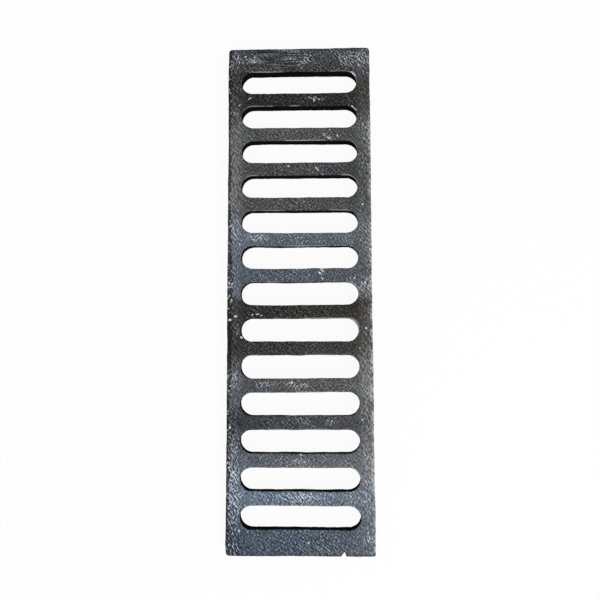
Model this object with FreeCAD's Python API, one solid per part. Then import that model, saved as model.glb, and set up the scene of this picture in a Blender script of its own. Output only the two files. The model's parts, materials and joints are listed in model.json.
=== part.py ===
"""Cast-iron drain grate: one flat casting with a row of round-ended slots across it.

Units are millimetres. X runs across the grate, Y along it and Z up. The origin is the middle of the
underside, so the grate lies on the plane Z = 0 with its walking face up.
"""

import FreeCAD
import Part

import math
import os

# Overall size of the casting, at its widest, where the rounded arris runs out into the sides
GRATE_LENGTH = 700.0
GRATE_WIDTH = 200.0
GRATE_DEPTH = 25.0

# Slots at their throat, just under the bevelled lip, and the metal left between and around them
SLOT_WIDTH = 31.0
BAR_WIDTH = 19.0
RAIL_WIDTH = 19.0
END_BAND_LEAST = 34.0

# Draft that lets the pattern leave the sand: slots open out downwards, the outside closes in
SLOT_DRAFT_DEG = 3.0
SIDE_DRAFT_DEG = 2.0

# Broken edges of the casting: bevelled round the slots, rounded round the outside
LIP_BEVEL = 1.2
SLOT_FOOT_BEVEL = 0.8
ARRIS_RADIUS = 2.0
SIDE_FOOT_RADIUS = 1.0

# Corners of the flat walking face, inside the arris: three as moulded, the near right one sharper
FACE_CORNER_RADIUS = 2.5
SHARP_FACE_CORNER_RADIUS = 0.5

# Chip broken out of the near end: where its root lies, how deep it goes and its two flanks
CHIP_FROM_RIGHT_SIDE = 41.0
CHIP_DEPTH = 6.0
CHIP_LEFT_FLANK = 4.5
CHIP_RIGHT_FLANK = 2.0
CHIP_ROOT_LEAN = 1.5

# How far a cutting tool stands clear of the faces that it goes through
CUT_CLEARANCE = 1.0

# Two heights closer than this are the same plane
SAME_PLANE = 1e-6


def slot_centres():
    """Y of each slot: as many as leave the least end band, spaced by one slot and one bar, and centred."""
    pitch = SLOT_WIDTH + BAR_WIDTH
    room = GRATE_LENGTH - 2 * END_BAND_LEAST + BAR_WIDTH
    count = math.floor(room / pitch + SAME_PLANE)
    first = -(count - 1) * pitch / 2
    return [first + pitch * index for index in range(count)]


def closed_wire(arcs):
    """Wire of arcs, each given by its start, middle and end, joined in turn by straight lines."""
    edges = []
    for index, arc in enumerate(arcs):
        next_start = arcs[(index + 1) % len(arcs)][0]
        edges.append(Part.Arc(*arc).toShape())
        edges.append(Part.LineSegment(arc[2], next_start).toShape())
    return Part.Wire(edges)


def grate_outline(inset, height):
    """Wire of the outline in plan, moved inwards by inset; its corners start at the near right one."""
    face_radii = [SHARP_FACE_CORNER_RADIUS] + [FACE_CORNER_RADIUS] * 3
    signs = [(1, -1), (1, 1), (-1, 1), (-1, -1)]
    arcs = []
    for index, (face_radius, (side_x, side_y)) in enumerate(zip(face_radii, signs)):
        radius = face_radius + ARRIS_RADIUS
        centre = FreeCAD.Vector(
            side_x * (GRATE_WIDTH / 2 - radius),
            side_y * (GRATE_LENGTH / 2 - radius),
            height,
        )
        reach = FreeCAD.Vector(radius - inset, 0, 0)
        start_angle = 90 * index - 90
        arc = []
        for angle in (start_angle, start_angle + 45, start_angle + 90):
            turn = FreeCAD.Rotation(FreeCAD.Vector(0, 0, 1), angle)
            arc.append(centre + turn.multVec(reach))
        arcs.append(arc)
    return closed_wire(arcs)


def slot_outline(centre_y, half_width, height):
    """Wire of one slot at one height: half circles at its two ends, joined by its straight sides."""
    half_straight = GRATE_WIDTH / 2 - RAIL_WIDTH - SLOT_WIDTH / 2
    arcs = []
    for side in (1, -1):
        near = FreeCAD.Vector(side * half_straight, centre_y - side * half_width, height)
        tip = FreeCAD.Vector(side * (half_straight + half_width), centre_y, height)
        far = FreeCAD.Vector(side * half_straight, centre_y + side * half_width, height)
        arcs.append([near, tip, far])
    return closed_wire(arcs)


def plate_blank():
    """The solid plate before its slots: the outline closes in from the walking face to the underside."""
    slope = math.tan(math.radians(SIDE_DRAFT_DEG))
    widest = GRATE_DEPTH - ARRIS_RADIUS
    wires = [grate_outline((widest - height) * slope, height) for height in (0, GRATE_DEPTH)]
    return Part.makeLoft(wires, True, True)


def slot_core(centre_y):
    """The sand core of one slot, which opens out downwards from its throat."""
    slope = math.tan(math.radians(SLOT_DRAFT_DEG))
    throat = GRATE_DEPTH - LIP_BEVEL
    wires = []
    for height in (-CUT_CLEARANCE, GRATE_DEPTH + CUT_CLEARANCE):
        half_width = SLOT_WIDTH / 2 + (throat - height) * slope
        wires.append(slot_outline(centre_y, half_width, height))
    return Part.makeLoft(wires, True, True)


def edges_on_plane(shape, height, on_outline):
    """Edges that lie in one level plane: those of the outline, or those round the slots."""
    rail_middle = GRATE_WIDTH / 2 - RAIL_WIDTH / 2
    end_band_middle = GRATE_LENGTH / 2 - END_BAND_LEAST / 2
    found = []
    for edge in shape.Edges:
        box = edge.BoundBox
        if abs(box.ZMin - height) > SAME_PLANE or abs(box.ZMax - height) > SAME_PLANE:
            continue
        outside = abs(box.Center.x) > rail_middle or abs(box.Center.y) > end_band_middle
        if outside == on_outline:
            found.append(edge)
    return found


def edge_chip():
    """The bite missing from the near end: a leaning three-cornered prism through the whole depth."""
    near_end = -GRATE_LENGTH / 2
    root_x = GRATE_WIDTH / 2 - CHIP_FROM_RIGHT_SIDE
    outer_y = near_end - CUT_CLEARANCE
    flank_share = (CHIP_DEPTH + CUT_CLEARANCE) / CHIP_DEPTH
    wires = []
    for height, depth in (
        (-CUT_CLEARANCE, CHIP_DEPTH - CHIP_ROOT_LEAN),
        (GRATE_DEPTH + CUT_CLEARANCE, CHIP_DEPTH),
    ):
        root = FreeCAD.Vector(root_x, near_end + depth, height)
        left = FreeCAD.Vector(root_x - CHIP_LEFT_FLANK * flank_share, outer_y, height)
        right = FreeCAD.Vector(root_x + CHIP_RIGHT_FLANK * flank_share, outer_y, height)
        wires.append(Part.makePolygon([root, left, right, root]))
    return Part.makeLoft(wires, True, True)


def cast_grate():
    """The whole casting: plate, slots, broken edges, then the chip, whose own edges stay sharp."""
    casting = plate_blank().cut([slot_core(centre_y) for centre_y in slot_centres()])
    casting = casting.makeFillet(ARRIS_RADIUS, edges_on_plane(casting, GRATE_DEPTH, True))
    casting = casting.makeFillet(SIDE_FOOT_RADIUS, edges_on_plane(casting, 0, True))
    casting = casting.makeChamfer(LIP_BEVEL, edges_on_plane(casting, GRATE_DEPTH, False))
    casting = casting.makeChamfer(SLOT_FOOT_BEVEL, edges_on_plane(casting, 0, False))
    (whole,) = casting.cut(edge_chip()).Solids
    return whole


def main():
    os.makedirs("parts", exist_ok=True)
    casting = cast_grate()
    casting.exportStep("parts/cast_grate.step")
    box = casting.optimalBoundingBox()
    print("cast_grate", casting.ShapeType, "valid", casting.isValid(), "slots", len(slot_centres()))
    print("volume", round(casting.Volume), "faces", len(casting.Faces))
    print("size", round(box.XLength, 2), round(box.YLength, 2), round(box.ZLength, 2))


main()
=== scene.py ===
# %% [markdown]
# # A cast-iron drain grate
#
# The real object is one flat casting: two long rails, two end bands and a row of cross bars, poured
# together in one sand mould and then given a thin black coat. It lies over a drainage channel, so it is
# seen from above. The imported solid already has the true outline, slots and drafted walls. This lesson
# dresses it: the same form again as one fine mesh, with the skin that sand leaves, and then the coat.

# %% Load the fixed frame
import json
import math

import bmesh
import bpy
import numpy as np
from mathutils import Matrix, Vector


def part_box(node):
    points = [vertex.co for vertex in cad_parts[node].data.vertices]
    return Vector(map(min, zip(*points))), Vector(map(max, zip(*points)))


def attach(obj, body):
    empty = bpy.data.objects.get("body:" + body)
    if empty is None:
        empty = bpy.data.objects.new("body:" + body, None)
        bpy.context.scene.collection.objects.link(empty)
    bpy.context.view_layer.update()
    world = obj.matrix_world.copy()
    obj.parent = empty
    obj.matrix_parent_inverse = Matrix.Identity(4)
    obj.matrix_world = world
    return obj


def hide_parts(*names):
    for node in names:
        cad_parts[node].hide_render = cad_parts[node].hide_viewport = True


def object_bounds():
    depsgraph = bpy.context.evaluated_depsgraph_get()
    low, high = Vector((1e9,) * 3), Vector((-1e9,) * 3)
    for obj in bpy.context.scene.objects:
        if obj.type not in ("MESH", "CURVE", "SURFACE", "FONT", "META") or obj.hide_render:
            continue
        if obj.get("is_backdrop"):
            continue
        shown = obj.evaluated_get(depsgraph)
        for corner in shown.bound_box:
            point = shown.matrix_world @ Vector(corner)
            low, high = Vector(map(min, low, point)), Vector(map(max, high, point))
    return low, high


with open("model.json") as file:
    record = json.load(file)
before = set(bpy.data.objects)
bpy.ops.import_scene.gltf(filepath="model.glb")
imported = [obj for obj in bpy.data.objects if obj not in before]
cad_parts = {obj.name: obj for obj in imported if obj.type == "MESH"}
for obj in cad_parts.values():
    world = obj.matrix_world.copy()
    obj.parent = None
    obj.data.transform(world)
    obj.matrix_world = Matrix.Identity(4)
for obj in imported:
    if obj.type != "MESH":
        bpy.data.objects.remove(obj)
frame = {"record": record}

MM = 0.001
cad_low, cad_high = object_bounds()
print("CAD box", [round(side / MM, 2) for side in cad_high - cad_low], "mm")

# %% [markdown]
# ## Sizes
#
# Everything is measured from the frame, so the mesh can't drift from the solid. The outline comes from
# the node's box, and the slots come from the openings that the record states: the wide box of each slot
# is centred on it. The few sizes below are those that a box can't tell, such as the draft of the walls.

# %% Read the outline and the row of slots
HALF_WIDTH, HALF_LENGTH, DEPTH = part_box("cast_grate")[1]

openings = frame["record"]["physics"]["openings"]
slot_boxes = np.array([row["box_m"] for row in openings if not row["name"].endswith("_ends")])
slot_centres = np.sort(slot_boxes[:, :, 1].mean(axis=1))
PITCH = np.diff(slot_centres).mean()

RAIL_WIDTH = 19.0 * MM
SLOT_HALF_WIDTH = 15.5 * MM
SLOT_HALF_STRAIGHT = HALF_WIDTH - RAIL_WIDTH - SLOT_HALF_WIDTH
SLOT_DRAFT = math.tan(math.radians(3.0))
SIDE_DRAFT = math.tan(math.radians(2.0))
LIP_RADIUS = 1.3 * MM
ARRIS_RADIUS = 2.0 * MM
FOOT_BEVEL = 0.9 * MM
print(len(slot_centres), "slots,", round(PITCH / MM, 2), "mm apart")

# %% [markdown]
# ## Camera
#
# The grate lies flat and the camera was held about a metre above its middle, so it leans only a few
# degrees. The picture was then cut out and set on white, off the middle of the view, and the shift of the
# lens stands for that. Place, lean and shift were solved together, from the edges of the outline and of
# the slots.

# %% Hang the camera over the grate
CAMERA_PLACE = (0.0309, -0.0709, 1.020)
CAMERA_LEAN_DEG = (5.93, 1.76, -0.17)
CAMERA_LENS_MM = 43.5
CAMERA_RISE = -0.05


def add_object(name, data):
    """A new object in the scene that shows some data, such as a mesh, a lamp or a camera."""
    made = bpy.data.objects.new(name, data)
    bpy.context.scene.collection.objects.link(made)
    return made


camera = add_object("camera", bpy.data.cameras.new("camera"))
camera.data.lens = CAMERA_LENS_MM
camera.data.shift_y = CAMERA_RISE
camera.location = CAMERA_PLACE
camera.rotation_euler = [math.radians(angle) for angle in CAMERA_LEAN_DEG]
bpy.context.scene.camera = camera
print("camera", CAMERA_PLACE, "lens", CAMERA_LENS_MM, "mm")

# %% [markdown]
# ## The slots
#
# A slot is a straight run with a half circle at each end. Every point of its edge stands off the slot's
# middle line in some direction: straight up or down the grate along the run, and fanning round at the
# ends. The border of its tile is a rectangle, half way to the next slot, so neighbouring tiles meet
# point for point and can be welded. First the points are shared out, about as far apart everywhere, with
# three more where the chip in the near end has its corners.

# %% Share out the points of a slot's edge
RIM_WIDTH = 8.0 * MM
BAR_STEP = 1.5 * MM
TILE_HALF_X = HALF_WIDTH - RIM_WIDTH

CHIP_ROOT_X = HALF_WIDTH - 41.0 * MM
CHIP_LEFT_X = CHIP_ROOT_X - 4.5 * MM
CHIP_RIGHT_X = CHIP_ROOT_X + 2.0 * MM

# Points that agree to this many decimal places of a metre are one point
SAME_PLACES = 7


def steps_over(length):
    """How many steps of about BAR_STEP go into a length."""
    return max(1, round(length / BAR_STEP))


straight_x = np.linspace(-SLOT_HALF_STRAIGHT, SLOT_HALF_STRAIGHT, steps_over(2 * SLOT_HALF_STRAIGHT) + 1)
straight_x = np.append(straight_x, [CHIP_LEFT_X, CHIP_ROOT_X, CHIP_RIGHT_X])
straight_x = np.unique(np.round(straight_x, SAME_PLACES))
run_x = np.linspace(SLOT_HALF_STRAIGHT, TILE_HALF_X, steps_over(TILE_HALF_X - SLOT_HALF_STRAIGHT) + 1)
side_share = np.linspace(0.0, 1.0, steps_over(PITCH) + 1)
print(len(straight_x), "points along a straight,", len(run_x), "beyond it,", len(side_share), "up a side")

# %% [markdown]
# The ring then goes anticlockwise round the slot: its right-hand end, back along the far straight, its
# left-hand end and on along the near straight. The left-hand end is the right-hand one turned half round,
# so one function makes both. At an end, the border point runs out to the tile's corner, up its side and
# back in, while the direction fans round by half a circle.

# %% Walk round one slot and the border of its tile
corner_turn = math.atan2(PITCH / 2, TILE_HALF_X - SLOT_HALF_STRAIGHT)


def slot_end():
    """The right-hand end of a slot and its tile, from its near side round to its far side.

    Gives, for each point, the angle that its direction makes with X, the X of its border point, and how
    far up the tile's side that border point is, from 0 at the near border to 1 at the far one.
    """
    quarter = math.pi / 2
    angle = np.concatenate(
        [
            np.linspace(-quarter, -corner_turn, len(run_x))[:-1],
            np.linspace(-corner_turn, corner_turn, len(side_share))[:-1],
            np.linspace(corner_turn, quarter, len(run_x))[:-1],
        ]
    )
    border_x = np.concatenate([run_x[:-1], np.full(len(side_share) - 1, TILE_HALF_X), run_x[:0:-1]])
    share = np.concatenate([np.zeros(len(run_x) - 1), side_share[:-1], np.ones(len(run_x) - 1)])
    return angle, border_x, share


end_angle, end_x, end_share = slot_end()
run_back = straight_x[:0:-1]
run_on = straight_x[:-1]

ring_angle = np.concatenate(
    [
        end_angle,
        np.full(len(run_back), math.pi / 2),
        end_angle + math.pi,
        np.full(len(run_on), -math.pi / 2),
    ]
)
ring_foot_x = np.concatenate(
    [
        np.full(len(end_angle), SLOT_HALF_STRAIGHT),
        run_back,
        np.full(len(end_angle), -SLOT_HALF_STRAIGHT),
        run_on,
    ]
)
border_x = np.concatenate([end_x, run_back, -end_x, run_on])
border_share = np.concatenate([end_share, np.ones(len(run_back)), 1 - end_share, np.zeros(len(run_on))])
print(len(ring_angle), "points round each slot")

# %% [markdown]
# ## The section of a slot
#
# Every edge of this casting is the same kind of shape: a cross-section that runs round a closed path. The
# section of a slot has five parts. The flat of the walking face runs from the border to the lip. The lip
# is a quarter circle. The wall opens out downwards, as a sand core must. The foot is a small bevel, and
# the flat of the underside runs back to the border. A Boolean and a Bevel could make the same form, but
# their faces would be long slivers, with nowhere to put the sand's relief.

# %% Draw the section of a slot
TOP_STEPS = 9
LIP_STEPS = 3
WALL_STEPS = 3
UNDERSIDE_STEPS = 2


def joined_profile(*parts):
    """Stations of several parts in one array; a part's first station drops out where the last one ended."""
    return np.concatenate([parts[0]] + [part[1:] for part in parts[1:]])


def stations(reach, height, blend):
    """One part of a profile from its three columns, any of which may be a single number."""
    return np.stack(np.broadcast_arrays(reach, height, blend), axis=1).astype(float)


def slot_profile():
    """Section of a slot from the border above to the border below; reach is counted from the throat."""
    throat = DEPTH - LIP_RADIUS
    turn = np.linspace(0, math.pi / 2, LIP_STEPS + 1)
    wall_z = np.linspace(throat, FOOT_BEVEL, WALL_STEPS + 1)
    wall_reach = SLOT_DRAFT * (throat - wall_z)
    foot_reach = wall_reach[-1] + FOOT_BEVEL
    return joined_profile(
        stations(LIP_RADIUS, DEPTH, np.linspace(1, 0, TOP_STEPS + 1)),
        stations(LIP_RADIUS * (1 - np.sin(turn)), DEPTH - LIP_RADIUS * (1 - np.cos(turn)), 0),
        stations(wall_reach, wall_z, 0),
        stations(np.array([wall_reach[-1], foot_reach]), np.array([FOOT_BEVEL, 0]), 0),
        stations(foot_reach, 0, np.linspace(0, 1, UNDERSIDE_STEPS + 1)),
    )


print(len(slot_profile()), "stations in the section of a slot")

# %% [markdown]
# Carrying the section round the edge gives the tile of one slot. The first and the last tile reach out to
# the rim, so they are longer than the others, and only their borders differ.

# %% Make the slot tiles
RIM_HALF_Y = HALF_LENGTH - RIM_WIDTH


def carry_profile(path, outward, border, profile):
    """Grid of points, one row for each station of the profile and one column for each point of the path.

    A station has a reach, a height and a blend. Its point lies at path plus reach times outward, and
    blend moves it in a straight line towards the border, where it is 1. The height is its Z.
    """
    reach, height, blend = (column[:, None, None] for column in profile.T)
    beside_path = path + reach * outward
    plan = beside_path + blend * (border - beside_path)
    level = np.broadcast_to(height, plan.shape[:2] + (1,))
    return np.concatenate([plan, level], axis=2)


def slot_tile(centre_y, low_y, high_y):
    """The skin round one slot, out to a border at low_y and high_y: slot_profile carried round its edge."""
    outward = np.stack([np.cos(ring_angle), np.sin(ring_angle)], axis=1)
    foot = np.stack([ring_foot_x, np.full_like(ring_foot_x, centre_y)], axis=1)
    border = np.stack([border_x, low_y + border_share * (high_y - low_y)], axis=1)
    return carry_profile(foot + SLOT_HALF_WIDTH * outward, outward, border, slot_profile())


tile_edges = np.concatenate([[-RIM_HALF_Y], (slot_centres[1:] + slot_centres[:-1]) / 2, [RIM_HALF_Y]])
tiles = [slot_tile(*row) for row in zip(slot_centres, tile_edges[:-1], tile_edges[1:])]
print(len(tiles), "tiles of", tiles[0].shape[:2], "points")

# %% [markdown]
# ## The rim
#
# What is left is the strip round the outside. Its inner border is the tiles' outer one, which has sharp
# corners, and its outer edge has rounded ones. So near a corner the points are dealt out along the outer
# edge by length: first along the straight, then round half of the corner's arc. Three corners are round,
# and the near right one came out of the mould sharper.

# %% Deal the points of the rim round the outline
CORNER_RADIUS = 4.5 * MM
SHARP_CORNER_RADIUS = 2.5 * MM
CORNER_ZONE = 9.0 * MM


def rim_side(along, half_along, half_across, radii):
    """Path, outward and border of one side, in its own plan: across it, then along it.

    On the straight, a border point's path point lies square to it. In the zone before a corner, the share
    of the zone that the border point has gone through is the share of the path's length that its own
    point has walked: first on along the straight, then round the arc, up to half of the corner's turn.
    """
    border_end = half_along - RIM_WIDTH
    radius = np.where(along < 0, *radii)
    share = np.clip(1 - (border_end - np.abs(along)) / CORNER_ZONE, 0, 1)
    straight = CORNER_ZONE + RIM_WIDTH - radius
    walked = share * (straight + radius * math.pi / 4)
    turn = np.maximum(walked - straight, 0) / radius
    in_zone = border_end - CORNER_ZONE + np.minimum(walked, straight) + radius * np.sin(turn)
    side = np.sign(along)
    path_along = np.where(share > 0, side * in_zone, along)
    path = np.stack([half_across - radius * (1 - np.cos(turn)), path_along], axis=1)
    outward = np.stack([np.cos(turn), side * np.sin(turn)], axis=1)
    border = np.stack([np.full_like(along, half_across - RIM_WIDTH), along], axis=1)
    return path, outward, border


tile_spans = list(zip(tile_edges[:-1], tile_edges[1:]))
side_y = np.concatenate([low + side_share[:-1] * (high - low) for low, high in tile_spans] + [[RIM_HALF_Y]])
end_x_run = np.concatenate([-run_x[:0:-1], straight_x, run_x[1:]])

# The four sides are walked anticlockwise from the near right corner, each from its own start
walks = [side_y, -end_x_run[::-1], -side_y[::-1], end_x_run]
corner_radii = [SHARP_CORNER_RADIUS, CORNER_RADIUS, CORNER_RADIUS, CORNER_RADIUS, SHARP_CORNER_RADIUS]
rim_parts = []
for quarter, walk in enumerate(walks):
    halves = (HALF_LENGTH, HALF_WIDTH) if quarter % 2 == 0 else (HALF_WIDTH, HALF_LENGTH)
    quarter_turn = np.linalg.matrix_power(np.array([[0, 1], [-1, 0]]), quarter)
    unturned = rim_side(walk, *halves, corner_radii[quarter : quarter + 2])
    rim_parts.append([(part @ quarter_turn)[:-1] for part in unturned])
rim_path, rim_outward, rim_border = (np.concatenate(parts) for parts in zip(*rim_parts))
print(len(rim_path), "points round the rim")

# %% [markdown]
# The section of the rim has the same parts as a slot's, but the other way out: the flat of the rail, the
# rounded arris, a side that closes in downwards, a small bevel at the foot and the flat of the underside.

# %% Make the rim
RIM_TOP_STEPS = 3
ARRIS_STEPS = 5
SIDE_STEPS = 4


def rim_profile():
    """Section of the rim from the border above to the one below; reach is counted from the widest line."""
    widest = DEPTH - ARRIS_RADIUS
    turn = np.linspace(0, math.pi / 2, ARRIS_STEPS + 1)
    side_z = np.linspace(widest, FOOT_BEVEL, SIDE_STEPS + 1)
    side_reach = -SIDE_DRAFT * (widest - side_z)
    foot_reach = side_reach[-1] - FOOT_BEVEL
    return joined_profile(
        stations(-ARRIS_RADIUS, DEPTH, np.linspace(1, 0, RIM_TOP_STEPS + 1)),
        stations(-ARRIS_RADIUS * (1 - np.sin(turn)), DEPTH - ARRIS_RADIUS * (1 - np.cos(turn)), 0),
        stations(side_reach, side_z, 0),
        stations(np.array([side_reach[-1], foot_reach]), np.array([FOOT_BEVEL, 0]), 0),
        stations(foot_reach, 0, np.linspace(0, 1, UNDERSIDE_STEPS + 1)),
    )


rim = carry_profile(rim_path, rim_outward, rim_border, rim_profile())
print("rim of", rim.shape[:2], "points")

# %% [markdown]
# ## One closed skin
#
# The tiles and the rim share their borders, point for point, so merging the doubles makes one closed
# skin. A closed casting can be checked: every edge must belong to exactly two faces.

# %% Weld the tiles and the rim
WELD_DISTANCE = 0.01 * MM


def ring_faces(rows, columns, flip):
    """Corner numbers of the quads of a grid of points, whose last column joins its first one."""
    row, column = np.meshgrid(np.arange(rows - 1), np.arange(columns), indexing="ij")
    after = (column + 1) % columns
    corners = [row * columns + column, row * columns + after]
    corners += [(row + 1) * columns + after, (row + 1) * columns + column]
    faces = np.stack(corners, axis=-1).reshape(-1, 4)
    return faces[:, ::-1] if flip else faces


def read_array(collection, name, width, kind=float):
    """One property of all the elements of a mesh, as an array."""
    values = np.empty(len(collection) * width, dtype=kind)
    collection.foreach_get(name, values)
    return values.reshape(-1, width)


grids = tiles + [rim]
starts = np.cumsum([0] + [grid.shape[0] * grid.shape[1] for grid in grids])
all_points = np.concatenate([grid.reshape(-1, 3) for grid in grids])
all_faces = np.concatenate(
    [ring_faces(*grid.shape[:2], grid is rim) + start for grid, start in zip(grids, starts)]
)

skin = bpy.data.meshes.new("cast_grate_skin")
skin.from_pydata(all_points, [], all_faces)
welder = bmesh.new()
welder.from_mesh(skin)
bmesh.ops.remove_doubles(welder, verts=welder.verts, dist=WELD_DISTANCE)
welder.to_mesh(skin)
welder.free()

edge_uses = np.bincount(read_array(skin.loops, "edge_index", 1, np.int32)[:, 0])
print(len(skin.vertices), "points,", len(skin.polygons), "faces, closed:", bool((edge_uses == 2).all()))

# %% [markdown]
# ## The chip
#
# A knock has broken a small bite out of the near end, right of the middle. Its two flanks were laid into
# the grid above, so here the points near that end are only pushed in: the edge by the full depth of the
# bite, and what lies behind it by less and less, so that no face folds over.

# %% Push in the chip
CHIP_DEPTH = 6.0 * MM
CHIP_LEAN = 1.5 * MM
CHIP_REACH = 14.0 * MM

points = read_array(skin.vertices, "co", 3)
chip_plan = np.interp(points[:, 0], [CHIP_LEFT_X, CHIP_ROOT_X, CHIP_RIGHT_X], [0, 1, 0])
chip_depth = chip_plan * (CHIP_DEPTH - CHIP_LEAN * (1 - points[:, 2] / DEPTH))
from_near_end = points[:, 1] + HALF_LENGTH
# The near side leans in downwards, and this is how far behind it each point lies
behind_side = from_near_end - SIDE_DRAFT * np.maximum(DEPTH - ARRIS_RADIUS - points[:, 2], 0)
chip_share = np.clip(1 - from_near_end / CHIP_REACH, 0, 1)
points[:, 1] += chip_depth * chip_share
print("chip is", round(chip_depth.max() / MM, 1), "mm deep")

# %% [markdown]
# ## The skin that sand leaves
#
# Sand and molten iron never leave a true plane. Long swells come from the mould's own sag, shorter ones
# from how it was rammed, and the finest are the marks of the sand. Each is a sum of many plane waves in
# random directions, within one band of wavelengths, so nothing repeats and nothing is finer than the
# mesh can carry. The waves depend on the place alone, so neighbouring points move alike.

# %% Swell and roughen the casting
WAVE_COUNT = 48
# Bands of the relief: shortest wave, longest wave and spread, all in millimetres, then the seed
RELIEF_BANDS = [(90, 220, 0.22, 11), (22, 60, 0.13, 21), (8, 18, 0.07, 31), (3.6, 6.5, 0.05, 41)]
# Below this height the rise and fall fade out, because the grate rests on a flat underside
FULL_RELIEF_Z = 0.5 * DEPTH


def cast_waves(places, shortest, longest, seed):
    """Sum of plane waves with random directions, phases and wavelengths within a band; its spread is one."""
    chance = np.random.default_rng(seed)
    direction = chance.normal(size=(WAVE_COUNT, 3))
    direction /= np.linalg.norm(direction, axis=1, keepdims=True)
    wavelength = chance.uniform(shortest, longest, WAVE_COUNT)
    phase = chance.uniform(0, 2 * math.pi, WAVE_COUNT)
    angle = places @ (2 * math.pi * direction / wavelength[:, None]).T + phase
    return np.sin(angle).sum(axis=1) * math.sqrt(2 / WAVE_COUNT)


push = np.zeros_like(points)
for shortest, longest, spread, seed in RELIEF_BANDS:
    fields = [cast_waves(points, shortest * MM, longest * MM, seed + axis) for axis in range(3)]
    push += spread * MM * np.stack(fields, axis=1)
push[:, 2] *= np.clip(points[:, 2] / FULL_RELIEF_Z, 0, 1)
points += push
print("relief moves the skin by up to", round(np.abs(push).max() / MM, 2), "mm")

# %% [markdown]
# The moved points go back into the mesh, and the mesh becomes the visible grate. It rides on the casting's
# own body and stands in for the solid. Smooth shading takes the facets off the small rounds of the edges.

# %% Put the relief into the mesh
skin.vertices.foreach_set("co", points.ravel())
skin.polygons.foreach_set("use_smooth", np.ones(len(skin.polygons), dtype=bool))
skin.update()

grate = add_object("cast_grate_skin", skin)
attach(grate, "root")
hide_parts("cast_grate")
print("box", [round(side / MM, 2) for side in np.ptp(points, axis=0)], "mm")

# %% [markdown]
# ## How near the edges a point is
#
# Painted highlights and painted shade lie along the edges, and the chip's broken face is bare, so the finish
# has to know how near an edge a point is. That is plain geometry: how far a point lies from the edge of the
# nearest slot, and from the outline.

# %% Measure the distance to the edges
nearest_centre = slot_centres[np.abs(points[:, 1:2] - slot_centres).argmin(axis=1)]
beyond_run = np.maximum(np.abs(points[:, 0]) - SLOT_HALF_STRAIGHT, 0)
off_slot = np.stack([np.sign(points[:, 0]) * beyond_run, points[:, 1] - nearest_centre], axis=1)
to_slot = np.hypot(*off_slot.T) - SLOT_HALF_WIDTH
to_outline = np.minimum(HALF_WIDTH - np.abs(points[:, 0]), HALF_LENGTH - np.abs(points[:, 1]))
farthest = [round(distances.max() / MM, 1) for distances in (to_slot, to_outline)]
print("points lie up to", farthest[0], "mm from a slot and", farthest[1], "mm from the outline")

# %% [markdown]
# Four masks follow from these distances: the lips on the far and right sides of the slots, which face the
# light and get painted highlights, the walls of the slots, which get painted shade, the arris round the
# outside, which gets painted highlights and painted shade, and the broken face of the chip. They are written
# into the mesh as attributes, which stay with the surface however it is seen. A wall is told from a lip by
# the height that its point had before the relief, because the relief can move a lip by nearly its own
# height.

# %% Store the masks of the edges in the mesh
LIP_MIDDLE = 0.4 * LIP_RADIUS
LIP_WIDTH = 0.45 * MM
# Lips on this side of a slot face the light and get a painted highlight
LIT_SIDE = np.array([0.5, 0.85])
WALL_START = 0.3 * LIP_RADIUS
WALL_FADE = 0.6 * LIP_RADIUS
ARRIS_DEPTH = 2 * ARRIS_RADIUS
BROKEN_FADE = 0.5 * MM

moulded_z = points[:, 2] - push[:, 2]
on_lit_side = np.clip(off_slot @ LIT_SIDE / SLOT_HALF_WIDTH, 0, 1)
below_lip = np.clip((DEPTH - moulded_z - WALL_START) / WALL_FADE, 0, 1)
above_foot = np.clip(moulded_z / FOOT_BEVEL, 0, 1)
near_outline = np.exp(-np.maximum(to_outline, 0) / ARRIS_RADIUS)
near_face = np.exp(-(DEPTH - points[:, 2]) / ARRIS_DEPTH)
masks = {
    "lip": on_lit_side * np.exp(-(((to_slot - LIP_MIDDLE) / LIP_WIDTH) ** 2)),
    "in_slot": below_lip * above_foot * (to_slot < to_outline),
    "arris": near_outline * near_face,
    "broken": (chip_depth > 0) * np.clip(1 - np.maximum(behind_side, 0) / BROKEN_FADE, 0, 1),
}
for name, values in masks.items():
    stored = skin.attributes.new(name, "FLOAT", "POINT")
    stored.data.foreach_set("value", values.astype(np.float32))
    print(name, "covers", round(100 * float((values > 0.5).mean()), 2), "% of the points")

# %% [markdown]
# ## Writing a finish as arithmetic
#
# A material is a tree of nodes, and most of them only add, multiply or compare. A small class that wraps
# a node's output lets Python's own operators add those nodes, so a mask reads like the sum that it is.

# %% A value that arithmetic works on
class Value:
    """One output of a finish's nodes; each operation on it adds nodes."""

    def __init__(self, finish, socket):
        self.finish = finish
        self.socket = socket

    def math(self, operation, *terms):
        """The result of one operation of a Math node on some terms."""
        sockets = dict(enumerate(terms))
        return self.finish.node("ShaderNodeMath", {"operation": operation}, sockets)

    def __add__(self, other):
        return self.math("ADD", self, other)

    def __sub__(self, other):
        return self.math("SUBTRACT", self, other)

    def __rsub__(self, other):
        return self.math("SUBTRACT", other, self)

    def __mul__(self, other):
        return self.math("MULTIPLY", self, other)

    def __truediv__(self, other):
        return self.math("DIVIDE", self, other)

    def __abs__(self):
        return self.math("ABSOLUTE", self)

    def at_least(self, other):
        return self.math("MAXIMUM", self, other)

    def at_most(self, other):
        return self.math("MINIMUM", self, other)

    def towards(self, other, share):
        """This value where share is 0, the other one where it is 1, and a straight blend between them."""
        return self + (other - self) * share

    def rise(self, low, high):
        """0 below low, 1 above high, and a smooth step between them; low above high makes it fall."""
        sockets = {"Value": self, "From Min": low, "From Max": high}
        return self.finish.node("ShaderNodeMapRange", {"interpolation_type": "SMOOTHSTEP"}, sockets)

# %% [markdown]
# The second class holds the nodes themselves. It has one method, which adds any kind of node, fills its
# sockets with numbers, colours or other nodes' outputs, and gives one output back as such a value.

# %% A finish that nodes are added to
def find_socket(sockets, name):
    """A socket by its number, its name or its identifier."""
    if isinstance(name, int):
        return sockets[name]
    return next(socket for socket in sockets if name in (socket.identifier, socket.name))


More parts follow.
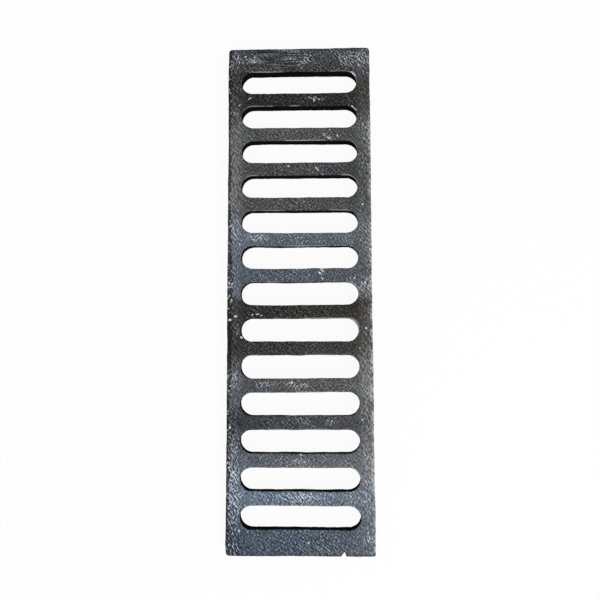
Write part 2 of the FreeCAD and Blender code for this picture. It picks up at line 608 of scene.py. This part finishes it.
def fill_ramp(ramp, stops):
    """Set a colour ramp's stops from (place, (red, green, blue, alpha)) rows, with places from 0 to 1."""
    while len(ramp.elements) < len(stops):
        ramp.elements.new(1.0)
    for element, (place, colour) in zip(ramp.elements, stops):
        element.position = place
        element.color = colour


class Finish:
    """The nodes of a new material or world."""

    def __init__(self, owner):
        self.owner = owner
        self.owner.use_nodes = True
        self.tree = self.owner.node_tree
        self.tree.nodes.clear()

    def node(self, kind, settings=None, sockets=None, output=0):
        """Add a node, make its settings, then fill its sockets with values or links; gives one output."""
        made = self.tree.nodes.new(kind)
        for name, setting in (settings or {}).items():
            if name == "stops":
                fill_ramp(made.color_ramp, setting)
            else:
                setattr(made, name, setting)
        for name, filling in (sockets or {}).items():
            socket = find_socket(made.inputs, name)
            if isinstance(filling, Value):
                self.tree.links.new(filling.socket, socket)
            else:
                socket.default_value = filling
        return Value(self, find_socket(made.outputs, output)) if made.outputs else made


coat = Finish(bpy.data.materials.new("black_coated_iron"))
print("finish", coat.owner.name)

# %% [markdown]
# ## Places on the casting
#
# Every pattern of the coat is looked up by its place in the object's own coordinates, so it stays with
# the casting however that is moved or seen. Three values follow from the place at once: how far out to the
# left or right a point lies, whether it is on a rail, and whether it is on the walking face. Below, a pair
# of numbers gives where such a change starts and where it is complete.

# %% Tell where each point of the coat lies
RAIL_EDGE = (74 * MM, 88 * MM)
FACE_EDGE = (DEPTH - 5 * MM, DEPTH - 2 * MM)

place = coat.node("ShaderNodeTexCoord", output="Object")
across, along, height = (
    coat.node("ShaderNodeSeparateXYZ", sockets={"Vector": place}, output=axis) for axis in range(3)
)
side = (across / HALF_WIDTH).at_least(-1.0).at_most(1.0)
rail = abs(across).rise(*RAIL_EDGE)
on_face = height.rise(*FACE_EDGE)
print("the place is read by", len(coat.tree.nodes), "nodes")

# %% [markdown]
# ## Zones of painted reflection
#
# The coat's sheen is painted into its colour as painted reflection. Its zones lie across the grate, one
# after another along its length: near black where the sheen would mirror dark surroundings, and grey or blue
# grey where it would mirror the sky. A colour ramp holds them, but as four plain numbers for each place: how
# grey, how blue, whether the left or the right is the greyer side, and how much greyer the rails are than
# the bars. Noise bends the place that is looked up, so that the zones have ragged borders.

# %% Look up the zone of each place
# Painted reflection, zone by zone: distance from the far end in millimetres, how grey, how blue, the lean (0
# left, 1 right, 0.5 neither), and how much greyer the rails are
REFLECTION_ZONES = [
    (8, 0.18, 0.45, 0.60, 0.08),
    (28, 0.12, 0.40, 0.56, 0.07),
    (46, 0.04, 0.00, 0.55, 0.06),
    (92, 0.04, 0.00, 0.52, 0.13),
    (115, 0.24, 0.15, 0.37, 0.16),
    (180, 0.17, 0.20, 0.22, 0.16),
    (240, 0.22, 0.20, 0.36, 0.12),
    (260, 0.45, 0.64, 0.24, 0.08),
    (300, 0.30, 0.68, 0.36, 0.07),
    (354, 0.33, 0.64, 0.45, 0.10),
    (361, 0.05, 0.00, 0.50, 0.09),
    (425, 0.09, 0.00, 0.68, 0.07),
    (470, 0.28, 0.15, 0.62, 0.22),
    (525, 0.15, 0.40, 0.76, 0.06),
    (575, 0.37, 0.30, 0.66, 0.08),
    (622, 0.55, 1.00, 0.54, 0.03),
    (672, 0.26, 0.95, 0.77, 0.03),
]
LENGTH = 2 * HALF_LENGTH
RAGGED_SIZE = 38.0 * MM
RAGGED_REACH = 45.0 * MM


def noise(size, detail=2.0, at=place):
    """Cloudy noise from 0 to 1 whose clouds are about this size, in metres."""
    return coat.node("ShaderNodeTexNoise", sockets={"Vector": at, "Scale": 1 / size, "Detail": detail})


ragged = (noise(RAGGED_SIZE, detail=4.0) - 0.5) * RAGGED_REACH
from_far_end = (HALF_LENGTH - along + ragged) / LENGTH
stops = [(distance * MM / LENGTH, zone) for distance, *zone in REFLECTION_ZONES]
zones = coat.node("ShaderNodeValToRGB", {"stops": stops}, {"Fac": from_far_end}, "Color")
grey, blue, lean = (
    coat.node("ShaderNodeSeparateColor", sockets={"Color": zones}, output=channel) for channel in range(3)
)
rail_grey = Value(coat, zones.socket.node.outputs["Alpha"])
print(len(stops), "zones along", round(LENGTH / MM), "mm")

# %% [markdown]
# The four numbers of a zone become two, both painted reflection. The tone says how pale the reflection is:
# the zone's grey, more of it on the rails, and more on the side that it leans to. The blue says how blue it
# is, which is less on the right, and more on the left of the near half.

# %% Turn the zones into the tone and blue of the painted reflection
LEAN_ON_BARS = 0.2
LEAN_ON_RAILS = 0.25
BLUE_LOST_ON_RIGHT = 0.35
BLUE_ADDED_ON_LEFT = 0.3
NEAR_HALF = (0.0, -60 * MM)

# Painted reflection: the tone, paler on the rails and on one side, and the blue of the sky
leaning = (lean - 0.5) * side * (abs(side) * LEAN_ON_BARS + rail * LEAN_ON_RAILS)
tone = grey + rail * rail_grey + leaning
to_right = side.at_least(0.0)
to_left = abs(side.at_most(0.0))
blue_reflection = blue * (1.0 - to_right * BLUE_LOST_ON_RIGHT)
blue_reflection = blue_reflection + to_left * along.rise(*NEAR_HALF) * BLUE_ADDED_ON_LEFT
print(len(coat.tree.nodes), "nodes with tone and bloom")

# %% [markdown]
# ## Grain
#
# Under the coat is the sand's own grain: short wormlike ridges, a few millimetres long. In the colour each
# ridge is a painted highlight, with painted shade in the dark grooves beside it, and the same pattern also
# goes into the bump. Stretched noise gives ridges, and taking off a share of the same noise one step across
# and one step along cuts the grooves. On the bars the ridges lie along one diagonal in some places and along
# the other elsewhere, as the mould was brushed out, and a slow noise picks between the two. On the rails
# they are longer and steeper. Voronoi cells would be crisp too, but round.

# %% Lay the grain
GRAIN_SIZE = 1.3 * MM
FINE_GRAIN_SIZE = 1.0 * MM
GROOVE_STEP = 2.7 * MM
GROOVE_SHARE = 0.34
RIDGE_RANGE = 0.18
BAR_STRETCH = 2.3
RAIL_STRETCH = 3.8
FALLING_TURN = -50
RISING_TURN = 48
RAIL_TURN = -76
DIAGONAL_PATCH = 30 * MM
DIAGONAL_BORDER = (0.5, 0.66)


def drawn_out(turn, stretch, size, shift=(0.0, 0.0, 0.0)):
    """Noise about 0 whose clouds are drawn out along one direction in plan, in degrees, and then shifted."""
    sockets = {
        "Vector": place,
        "Location": shift,
        "Rotation": (0.0, 0.0, math.radians(turn)),
        "Scale": (stretch, 1.0, 1.0),
    }
    turned = coat.node("ShaderNodeMapping", {"vector_type": "TEXTURE"}, sockets)
    return noise(size, detail=1.0, at=turned) - 0.5


def ridged(turn, stretch, size):
    """Ridges from 0 to 1: drawn-out noise, less a share of itself one step across and one step along."""
    ridge = drawn_out(turn, stretch, size)
    beside = drawn_out(turn, stretch, size, (GROOVE_STEP, 0.0, 0.0))
    below = drawn_out(turn, stretch, size, (0.0, GROOVE_STEP, 0.0))
    return (ridge - (beside + below) * GROOVE_SHARE).rise(-RIDGE_RANGE, RIDGE_RANGE)


falling = ridged(FALLING_TURN, BAR_STRETCH, GRAIN_SIZE)
rising = ridged(RISING_TURN, BAR_STRETCH, GRAIN_SIZE)
steep = ridged(RAIL_TURN, RAIL_STRETCH, GRAIN_SIZE)
which_diagonal = noise(DIAGONAL_PATCH, detail=1.0).rise(*DIAGONAL_BORDER)
ridges = falling.towards(rising, which_diagonal).towards(steep, rail)
fine = ridged(0, 1.0, FINE_GRAIN_SIZE)
print("ridges of", round(GRAIN_SIZE / MM, 1), "mm and fine grain of", round(FINE_GRAIN_SIZE / MM, 1), "mm")

# %% [markdown]
# The grain isn't the same all over. On the left of the far end band the brush left long streaks. Towards
# the near end the grain is short, fine strokes. Both take the place of some of the ridges.

# %% Change the grain from place to place
STREAK_STRETCH = 26.0
STREAK_RANGE = 0.16
STREAK_BAND = (318 * MM, 322 * MM)
STREAK_RIGHT_END = (20 * MM, -10 * MM)
STREAK_LEFT_END = (-85 * MM, -60 * MM)
STREAK_WEIGHT = 0.9
STROKE_TURN = -60
STROKE_STRETCH = 3.6
STROKE_START = (-190 * MM, -260 * MM)
STROKE_WEIGHT = 1.1
STROKES_LOST_ON_RAILS = 0.6
FINE_WEIGHT = 0.5
FINE_LOST_TO_STROKES = 0.2
RIDGES_LOST_TO_STROKES = 0.6
RIDGES_LOST_TO_STREAKS = 0.25

streaked = along.rise(*STREAK_BAND) * across.rise(*STREAK_RIGHT_END) * across.rise(*STREAK_LEFT_END)
streaks = drawn_out(0, STREAK_STRETCH, GRAIN_SIZE).rise(-STREAK_RANGE, STREAK_RANGE) - 0.5
stroked = along.rise(*STROKE_START) * (1.0 - rail * STROKES_LOST_ON_RAILS)
strokes = ridged(STROKE_TURN, STROKE_STRETCH, FINE_GRAIN_SIZE) - 0.5

ridge_weight = 1.0 - stroked * RIDGES_LOST_TO_STROKES - streaked * RIDGES_LOST_TO_STREAKS
fine_weight = FINE_WEIGHT - stroked * FINE_LOST_TO_STROKES
grain = (ridges - 0.5) * ridge_weight + (fine - 0.5) * fine_weight
grain = grain + strokes * stroked * STROKE_WEIGHT + streaks * streaked * on_face * STREAK_WEIGHT
print(len(coat.tree.nodes), "nodes with the grain")

# %% [markdown]
# Its strength changes as well. The end bands and the rails are the coarsest, the left rail most of all
# towards the near end. Patches about a centimetre wide are darker or paler than the rest, and in places the
# tops of the grain carry painted highlights as flecks.

# %% Mark the coarse places, the patches and the flecks
END_BAND = (300 * MM, 318 * MM)
COARSE_RAIL = (76 * MM, 86 * MM)
COARSE_NEAR_BAND = 0.45
COARSE_LEFT_RAIL = 0.5
COARSE_RIGHT_RAIL = 0.35
LEFT_COARSENS = (-130 * MM, -260 * MM)
LEFT_COARSENS_BY = 3.0
RIGHT_COARSENS = (-260 * MM, -300 * MM)
RIGHT_COARSENS_BY = 0.6
PATCH_SIZE = 14 * MM
FLECK_PATCH_SIZE = 20 * MM
FLECK_PATCH = (0.45, 0.7)
FLECK_GRAIN = (0.45, 0.8)

towards_near = 0.0 - along
towards_left = 0.0 - across
end_bands = along.rise(*END_BAND).at_least(towards_near.rise(*END_BAND) * COARSE_NEAR_BAND)
left_strength = along.rise(*LEFT_COARSENS) * LEFT_COARSENS_BY + COARSE_LEFT_RAIL
right_strength = along.rise(*RIGHT_COARSENS) * RIGHT_COARSENS_BY + COARSE_RIGHT_RAIL
left_rail = towards_left.rise(*COARSE_RAIL) * left_strength
right_rail = across.rise(*COARSE_RAIL) * right_strength
coarse = end_bands.at_least(left_rail).at_least(right_rail)

patches = noise(PATCH_SIZE, detail=3.0) - 0.5
# Painted highlights on the tops of the grain, as flecks
fleck_highlights = (ridges * fine).rise(*FLECK_GRAIN) * noise(FLECK_PATCH_SIZE).rise(*FLECK_PATCH)
print("patches of", round(PATCH_SIZE / MM), "mm, flecks in patches of", round(FLECK_PATCH_SIZE / MM), "mm")

# %% [markdown]
# ## Scuffs, and knocks painted as glints
#
# Grates are stacked, dragged and dropped. Dragging scuffs the walking face in patches and streaks, where the
# tops of the grain shine through, and a knock leaves a small bare dent or scratch, which is painted as a
# bright glint. Each mark is an ellipse with its own place, size and turn. They could be painted on an image
# instead, but a short list of ellipses is easier to change and keeps sharp however near it is seen.

# %% List the scuffs and knocks
# Every mark: place across and along, half length and half width in millimetres, and its turn in degrees
SCUFFS = [
    (-70, 332, 26, 9, 8),
    (6, 332, 18, 9, 60),
    (76, 332, 34, 16, 0),
    (23, 276, 26, 6, 0),
    (40, 222, 12, 5, -40),
    (-91, 257, 14, 7, 30),
    (-58, 78, 24, 9, -8),
    (30, 30, 8, 5, -50),
    (88, 13, 13, 9, 80),
    (-87, -50, 14, 6, 90),
    (-48, -124, 20, 6, 0),
    (-4, -124, 24, 7, 0),
    (8, -175, 24, 8, -20),
    (42, -174, 14, 7, 0),
    (0, -226, 20, 7, 0),
    (0, -273, 34, 9, 0),
    (-90, -246, 14, 6, 90),
    (90, -328, 11, 8, 0),
]
# Bare specks and scratches, painted as bright glints
KNOCKS_AND_GLINTS = [
    (-87, 337, 1.6, 1.1, 30),
    (-76, 339, 1.6, 1.2, 0),
    (77.5, 312, 5.5, 1.0, -45),
    (77.5, 262, 6.5, 0.8, -45),
    (-70, 277, 3.5, 0.7, 38),
    (-84, 268, 3.0, 0.5, 38),
    (21, 275, 2.2, 0.9, -60),
    (35, 224, 3.2, 0.8, -56),
    (42, 219, 4.2, 1.0, -28),
    (43, 231, 1.2, 0.9, 0),
    (54, 222, 3.0, 0.7, -70),
    (-15, 179, 1.5, 1.4, 0),
    (25, 175, 4.2, 0.8, -45),
    (33, 167, 1.5, 0.9, -45),
    (88, 124, 1.8, 0.9, -45),
    (-83, 69, 1.3, 1.3, 0),
    (31, 32, 3.6, 1.0, -58),
    (28, 28, 3.2, 1.0, -40),
    (31, 21, 2.4, 0.9, -55),
    (76, 21, 1.5, 1.0, 0),
    (-88, -31, 2.6, 1.5, 0),
    (-96, -36, 2.0, 1.8, 0),
    (-65, -29, 1.3, 0.9, 0),
    (-58, -28, 2.8, 0.9, 10),
    (-52, -30, 1.2, 0.9, 0),
    (91, -48, 1.6, 1.4, 0),
    (-80, -60, 1.8, 1.4, 0),
    (82, -75, 1.3, 1.1, 0),
    (-11, -121, 1.6, 1.4, 0),
    (84, -171, 1.4, 1.1, 0),
    (-95, -181, 2.2, 1.2, 80),
    (1, -217, 2.0, 1.0, -40),
    (85, -278, 1.3, 1.2, 0),
    (-82, -317, 2.0, 1.2, -60),
    (11, -332, 1.4, 1.3, 0),
]
print(len(SCUFFS), "scuffs and", len(KNOCKS_AND_GLINTS), "knocks")

# %% [markdown]
# A mark's border is frayed by noise, which moves the place that is looked up. A scuff fades in over most
# of its width, and a knock has a hard border. All the scuffs make one mask, and all the knocks another.

# %% Lay the marks on the walking face
MARK_DEPTH = 4.0 * MM
SCUFF_FRAY_SIZE = 9.0 * MM
SCUFF_FRAY = 10.0 * MM
SCUFF_CORE = 0.2
KNOCK_FRAY_SIZE = 2.0 * MM
KNOCK_FRAY = 2.5 * MM
KNOCK_CORE = 0.75


def frayed(size, amount):
    """The place, moved about in plan by noise of one size, by half of an amount at most."""
    cloud = coat.node("ShaderNodeTexNoise", sockets={"Vector": place, "Scale": 1 / size}, output="Color")
    middled = coat.node("ShaderNodeVectorMath", {"operation": "SUBTRACT"}, {0: cloud, 1: (0.5, 0.5, 0.5)})
    moves = {0: middled, 1: (amount, amount, 0.0), 2: place}
    return coat.node("ShaderNodeVectorMath", {"operation": "MULTIPLY_ADD"}, moves)


def mark(where, core, x, y, half_length, half_width, turn):
    """1 in the core of one ellipse on the walking face, and 0 outside it or deeper than MARK_DEPTH."""
    ellipse = {
        "Vector": where,
        "Location": (x * MM, y * MM, DEPTH),
        "Rotation": (0.0, 0.0, math.radians(turn)),
        "Scale": (half_length * MM, half_width * MM, MARK_DEPTH),
    }
    local = coat.node("ShaderNodeMapping", {"vector_type": "TEXTURE"}, ellipse)
    distance = coat.node("ShaderNodeVectorMath", {"operation": "LENGTH"}, {0: local}, "Value")
    return distance.rise(1.0, core)


def strongest(shares):
    """The greatest of several values."""
    greatest = shares[0]
    for share in shares[1:]:
        greatest = greatest.at_least(share)
    return greatest


scuffed_place = frayed(SCUFF_FRAY_SIZE, SCUFF_FRAY)
scuffed = strongest([mark(scuffed_place, SCUFF_CORE, *row) for row in SCUFFS])
knock_glint_place = frayed(KNOCK_FRAY_SIZE, KNOCK_FRAY)
knocks_and_glints = strongest([mark(knock_glint_place, KNOCK_CORE, *row) for row in KNOCKS_AND_GLINTS])
print(len(coat.tree.nodes), "nodes with the marks")

# %% [markdown]
# ## The finish
#
# The tone says how pale the painted reflection and the scuffs make the coat, and the grain changes that by a
# power of two, so a groove darkens it as much as a ridge brightens it. The grain shows most where the coat
# is black or scuffed and towards the middle of the bars, and less where it is pale. The coat is smoother on
# the sides and the underside.

# %% Set the strength of the grain
GRAIN_CONTRAST = 2.2
COARSE_CONTRAST = 0.9
BLACK_CONTRAST = 1.0
PALE_CONTRAST = -0.2
SCUFF_CONTRAST = 0.5
MIDDLE_CONTRAST = 0.2
PATCH_CONTRAST = 0.8
FLECK_CONTRAST = 0.9
CONTRAST_BELOW = 0.4
BLACK_TONES = (0.12, 0.04)
PALE_TONES = (0.2, 0.4)


def less_below(share):
    """1 on the walking face and this share on the sides and the underside."""
    return on_face * (1 - share) + share


boost = tone.rise(*BLACK_TONES) * BLACK_CONTRAST + tone.rise(*PALE_TONES) * PALE_CONTRAST + 1.0
boost = boost + scuffed * SCUFF_CONTRAST + (1.0 - abs(side)) * MIDDLE_CONTRAST
grain_strength = boost * (coarse * COARSE_CONTRAST + GRAIN_CONTRAST) * less_below(CONTRAST_BELOW)
# The grain's ridges and grooves are painted highlights and painted shade here, and the flecks are painted
# highlights
contrast = grain * grain_strength + patches * PATCH_CONTRAST + fleck_highlights * on_face * FLECK_CONTRAST
print("grain contrast of", GRAIN_CONTRAST, "powers of two before any boost")

# %% [markdown]
# Three colours make up the coat: its own brown-black, and a neutral grey and a blue grey, which are painted
# reflections of the sky in its sheen. The brightest grain is paler still, with a painted glint. The sides
# and the underside are darker than the walking face.

# %% Mix the colours of the coat
BLACK_COAT = (0.0046, 0.0040, 0.0037, 1.0)
# Painted reflections of the sky; the grey is also the dust in the slots
GREY_REFLECTION_AND_DUST = (0.60, 0.59, 0.58, 1.0)
BLUE_SKY_REFLECTION = (0.40, 0.55, 0.73, 1.0)
# Painted glint on the brightest grain
PAINTED_GLINT = (0.80, 0.82, 0.84, 1.0)
GLINT_SHARE = 0.7
GLINTING = (0.3, 1.0)
SCUFF_TONE = 0.07
SCUFF_GAIN = 0.25
STREAK_LOSS = 0.1
LEAST_TONE = 0.02
PALENESS_AT_FULL_TONE = 0.5
TONE_BELOW = 0.5


def mix_colours(share, first, second):
    """One colour where share is 0 and the other where it is 1."""
    sockets = {"Factor_Float": share, "A_Color": first, "B_Color": second}
    return coat.node("ShaderNodeMix", {"data_type": "RGBA"}, sockets, "Result_Color")


# Painted reflection, paler where the coat is scuffed
tone_with_scuffs = tone * (1.0 - streaked * STREAK_LOSS) + scuffed * (tone * SCUFF_GAIN + SCUFF_TONE)
paleness = tone_with_scuffs.at_least(LEAST_TONE) * PALENESS_AT_FULL_TONE * less_below(TONE_BELOW)
shown = (paleness * contrast.math("POWER", 2.0, contrast)).at_most(1.0)
reflection_colour = mix_colours(blue_reflection, GREY_REFLECTION_AND_DUST, BLUE_SKY_REFLECTION)
reflection_colour = mix_colours(shown.rise(*GLINTING) * GLINT_SHARE, reflection_colour, PAINTED_GLINT)
colour = mix_colours(shown, BLACK_COAT, reflection_colour)
print("coat from", BLACK_COAT[:3], "to", GREY_REFLECTION_AND_DUST[:3], "and", BLUE_SKY_REFLECTION[:3])

# %% [markdown]
# ## Edges
#
# Edges have a look of their own. Along the whole left edge of the walking face runs a strip of painted
# shade, widest a little to the near side of the middle. Noise makes its border wander, the grain frays it,
# and bright nicks lie in it as painted glints. The arrises of both ends have painted shade as well.

# %% Paint shade on the left edge and both ends
STRIP_WIDTH = 5.5 * MM
STRIP_SWELL = 3.0 * MM
STRIP_SWELLS_FROM_FAR = (150 * MM, 20 * MM)
STRIP_SWELLS_FROM_NEAR = (-180 * MM, -90 * MM)
STRIP_WANDER_SIZE = 9 * MM
STRIP_WANDER = 0.8
STRIP_FRAY = 2.5 * MM
STRIP_CORE = 0.65
STRIP_SHARE = 0.75
NICK_SIZE = 4 * MM
NICK_BORDER = (0.58, 0.66)
NICK_PATCH_SIZE = 40 * MM
NICK_PATCH = (0.42, 0.58)
NICK_SHARE = 0.7
END_ARRIS = (HALF_LENGTH - 9 * MM, HALF_LENGTH - 3 * MM)
FAR_ARRIS_SHARE = 0.7


def attribute(name):
    """A number that was stored in the mesh."""
    return coat.node("ShaderNodeAttribute", {"attribute_name": name}, output="Fac")


swollen = along.rise(*STRIP_SWELLS_FROM_FAR) * along.rise(*STRIP_SWELLS_FROM_NEAR)
strip_width = swollen * STRIP_SWELL + STRIP_WIDTH
wander = (noise(STRIP_WANDER_SIZE) - 0.5) * strip_width * STRIP_WANDER
from_left = across + HALF_WIDTH + wander + (ridges - 0.5) * STRIP_FRAY
left_shade_strip = from_left.rise(strip_width, strip_width * STRIP_CORE) * on_face
nick_glints = noise(NICK_SIZE).rise(*NICK_BORDER) * noise(NICK_PATCH_SIZE).rise(*NICK_PATCH)
# Painted shade along the left edge, and painted glints for the nicks in it
colour = mix_colours(left_shade_strip * STRIP_SHARE, colour, BLACK_COAT)
colour = mix_colours(left_shade_strip * nick_glints * NICK_SHARE, colour, PAINTED_GLINT)

# Painted shade on the arrises of both ends
far_end = along.rise(*END_ARRIS)
near_end = towards_near.rise(*END_ARRIS)
colour = mix_colours(attribute("arris") * (far_end * FAR_ARRIS_SHARE + near_end), colour, BLACK_COAT)
widest_strip = STRIP_WIDTH + STRIP_SWELL
print("dark strip of", round(STRIP_WIDTH / MM, 1), "to", round(widest_strip / MM, 1), "mm on the left edge")

# %% [markdown]
# Other edges get painted highlights: stretches of the far and right lips of the slots, which face the light,
# and the right arris, apart from its far end and the near end. The grain and noise break them up. The knocks
# are bare, painted as bright glints, with some of the grain left in them, and the broken face of the chip is
# bare iron with some grain left in it too.

# %% Paint highlights on the other edges
EDGE_HIGHLIGHT = (0.50, 0.50, 0.50, 1.0)
BROKEN_IRON = (0.50, 0.48, 0.44, 1.0)
LIP_STRETCH_SIZE = 45 * MM
LIP_STRETCH = (0.5, 0.6)
RIGHT_SIDE = (-0.2, 0.8)
ARRIS_LIT_FROM = (270 * MM, 230 * MM)
ARRIS_STRETCH_SIZE = 20 * MM
ARRIS_STRETCH = (0.36, 0.6)
ARRIS_HIGHLIGHT_GAIN = 3.0
ARRIS_HIGHLIGHT_LIMIT = 0.8
KNOCK_GRAIN = 0.4
BROKEN_GRAIN = 0.3

# Painted highlights on the lips that face the light and on the right arris
lip_highlight = attribute("lip") * noise(LIP_STRETCH_SIZE, detail=5.0).rise(*LIP_STRETCH)
lit_right_arris = side.rise(*RIGHT_SIDE) * along.rise(*ARRIS_LIT_FROM) * (1.0 - near_end) * ARRIS_HIGHLIGHT_GAIN
stretches = noise(ARRIS_STRETCH_SIZE, detail=3.0).rise(*ARRIS_STRETCH)
arris_highlight = (attribute("arris") * lit_right_arris * ridges * stretches).at_most(ARRIS_HIGHLIGHT_LIMIT)
colour = mix_colours(lip_highlight.at_least(arris_highlight), colour, EDGE_HIGHLIGHT)
# The knocks, bare specks and scratches painted as bright glints
colour = mix_colours(knocks_and_glints * (ridges * KNOCK_GRAIN + (1 - KNOCK_GRAIN)), colour, PAINTED_GLINT)
colour = mix_colours(attribute("broken") * (fine * BROKEN_GRAIN + (1 - BROKEN_GRAIN)), colour, BROKEN_IRON)
print(len(coat.tree.nodes), "nodes with the edges")

# %% [markdown]
# The coat is dull and hardly shines, and it is a little smoother where it is paler. The grain also goes into
# a bump, which is enough for something finer than the mesh. The walls of the slots have a shader of their
# own, near black and quite dull, as painted shade for the deep slots, and their mask mixes it in.

# %% Put the finish together
COAT_ROUGHNESS = 0.46
PALER_SMOOTHER = 0.12
FINE_ROUGHNESS = 0.2
COAT_SPECULAR = 0.07
BUMP_STRENGTH = 0.55
BUMP_HEIGHT = 0.35 * MM
# Painted shade: the walls of the slots are near black and do not shine
WALL_SHADE = (0.006, 0.006, 0.006, 1.0)
WALL_DUST = 0.03
DUSTY_GRAIN = (0.0, 0.8)
WALL_ROUGHNESS = 1.0
WALL_SPECULAR = 0.0

bump = {"Strength": BUMP_STRENGTH, "Distance": BUMP_HEIGHT, "Height": grain}
normal = coat.node("ShaderNodeBump", sockets=bump)


def bumpy_shader(base_colour, roughness, specular):
    """A shader of one colour, roughness and shine, with the grain as its bump."""
    looks = {"Base Color": base_colour, "Roughness": roughness, "Specular IOR Level": specular}
    return coat.node("ShaderNodeBsdfPrincipled", sockets={"Normal": normal, **looks})


coat_roughness = COAT_ROUGHNESS - shown * PALER_SMOOTHER + (fine - 0.5) * FINE_ROUGHNESS
wall_colour = mix_colours(grain.rise(*DUSTY_GRAIN) * WALL_DUST, WALL_SHADE, GREY_REFLECTION_AND_DUST)
face_shader = bumpy_shader(colour, coat_roughness, COAT_SPECULAR)
wall_shader = bumpy_shader(wall_colour, WALL_ROUGHNESS, WALL_SPECULAR)
whole = coat.node("ShaderNodeMixShader", sockets={0: attribute("in_slot"), 1: face_shader, 2: wall_shader})
coat.node("ShaderNodeOutputMaterial", sockets={"Surface": whole})
skin.materials.append(coat.owner)
print(len(coat.tree.nodes), "nodes in", coat.owner.name)

# %% [markdown]
# ## Floor, light and background
#
# The photograph has the grate alone on white. The floor is plain white and lit like any floor, so it
# takes a shadow, but to the camera and to reflections it mostly glows an even white, so that only a trace
# of the shadow is seen.

# %% Lay the floor
WHITE = (1.0, 1.0, 1.0, 1.0)
FLOOR_WHITE = (0.9, 0.9, 0.9, 1.0)
FLOOR_HALF = 4.0
FLOOR_DROP = 0.2 * MM
FLOOR_GLOW = 0.94


def seen_directly(finish):
    """1 for what the camera, a reflection or a clear view through glass shows, and 0 for light itself."""
    rays = ["Is Camera Ray", "Is Glossy Ray", "Is Transmission Ray"]
    camera_ray, glossy_ray, clear_ray = (finish.node("ShaderNodeLightPath", output=ray) for ray in rays)
    return camera_ray.at_least(glossy_ray).at_least(clear_ray)


floor_corners = np.array([[-1, -1, 0], [1, -1, 0], [1, 1, 0], [-1, 1, 0]]) * FLOOR_HALF
floor_corners[:, 2] = -FLOOR_DROP
floor_mesh = bpy.data.meshes.new("studio_floor")
floor_mesh.from_pydata(floor_corners, [], [(0, 1, 2, 3)])
floor = add_object("studio_floor", floor_mesh)
floor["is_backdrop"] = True

paint = Finish(bpy.data.materials.new("studio_floor"))
matt = paint.node("ShaderNodeBsdfDiffuse", sockets={"Color": FLOOR_WHITE})
glow = paint.node("ShaderNodeEmission", sockets={"Color": WHITE, "Strength": 1.0})
glow_share = seen_directly(paint) * FLOOR_GLOW
floor_shader = paint.node("ShaderNodeMixShader", sockets={0: glow_share, 1: matt, 2: glow})
paint.node("ShaderNodeOutputMaterial", sockets={"Surface": floor_shader})
floor_mesh.materials.append(paint.owner)
print("floor of", 2 * FLOOR_HALF, "m")

# %% [markdown]
# A large soft lamp stands at the front right, and an even sky does the rest. The sky is white where it is
# seen and gives less light than that, so that the lamp still tells.

# %% Light the grate
SKY_LEVEL = 0.62
LAMP_PLACE = (0.95, -1.0, 1.7)
LAMP_SIDE = 1.3
LAMP_WATTS = 24.0

sky = Finish(bpy.data.worlds.new("sky"))
sky_strength = seen_directly(sky) * (1 - SKY_LEVEL) + SKY_LEVEL
sky_light = sky.node("ShaderNodeBackground", sockets={"Color": WHITE, "Strength": sky_strength})
sky.node("ShaderNodeOutputWorld", sockets={"Surface": sky_light})
bpy.context.scene.world = sky.owner

lamp = add_object("soft_lamp", bpy.data.lights.new("soft_lamp", "AREA"))
lamp.data.shape = "SQUARE"
lamp.data.size = LAMP_SIDE
lamp.data.energy = LAMP_WATTS
lamp.location = LAMP_PLACE
lamp.rotation_euler = lamp.location.to_track_quat("Z", "Y").to_euler()

bpy.context.scene.view_settings.view_transform = "Standard"
print("lamp at", LAMP_PLACE, "with", LAMP_WATTS, "W")

# %% [markdown]
# ## Sizes at the end
#
# The dressed grate has to stay in the solid's box, give or take the relief. Both boxes are written down so
# that they can be compared.

# %% Compare the boxes and finish
visual_low, visual_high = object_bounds()
growth = (visual_high - visual_low) - (cad_high - cad_low)
print("grown by", [round(value / MM, 2) for value in growth], "mm")
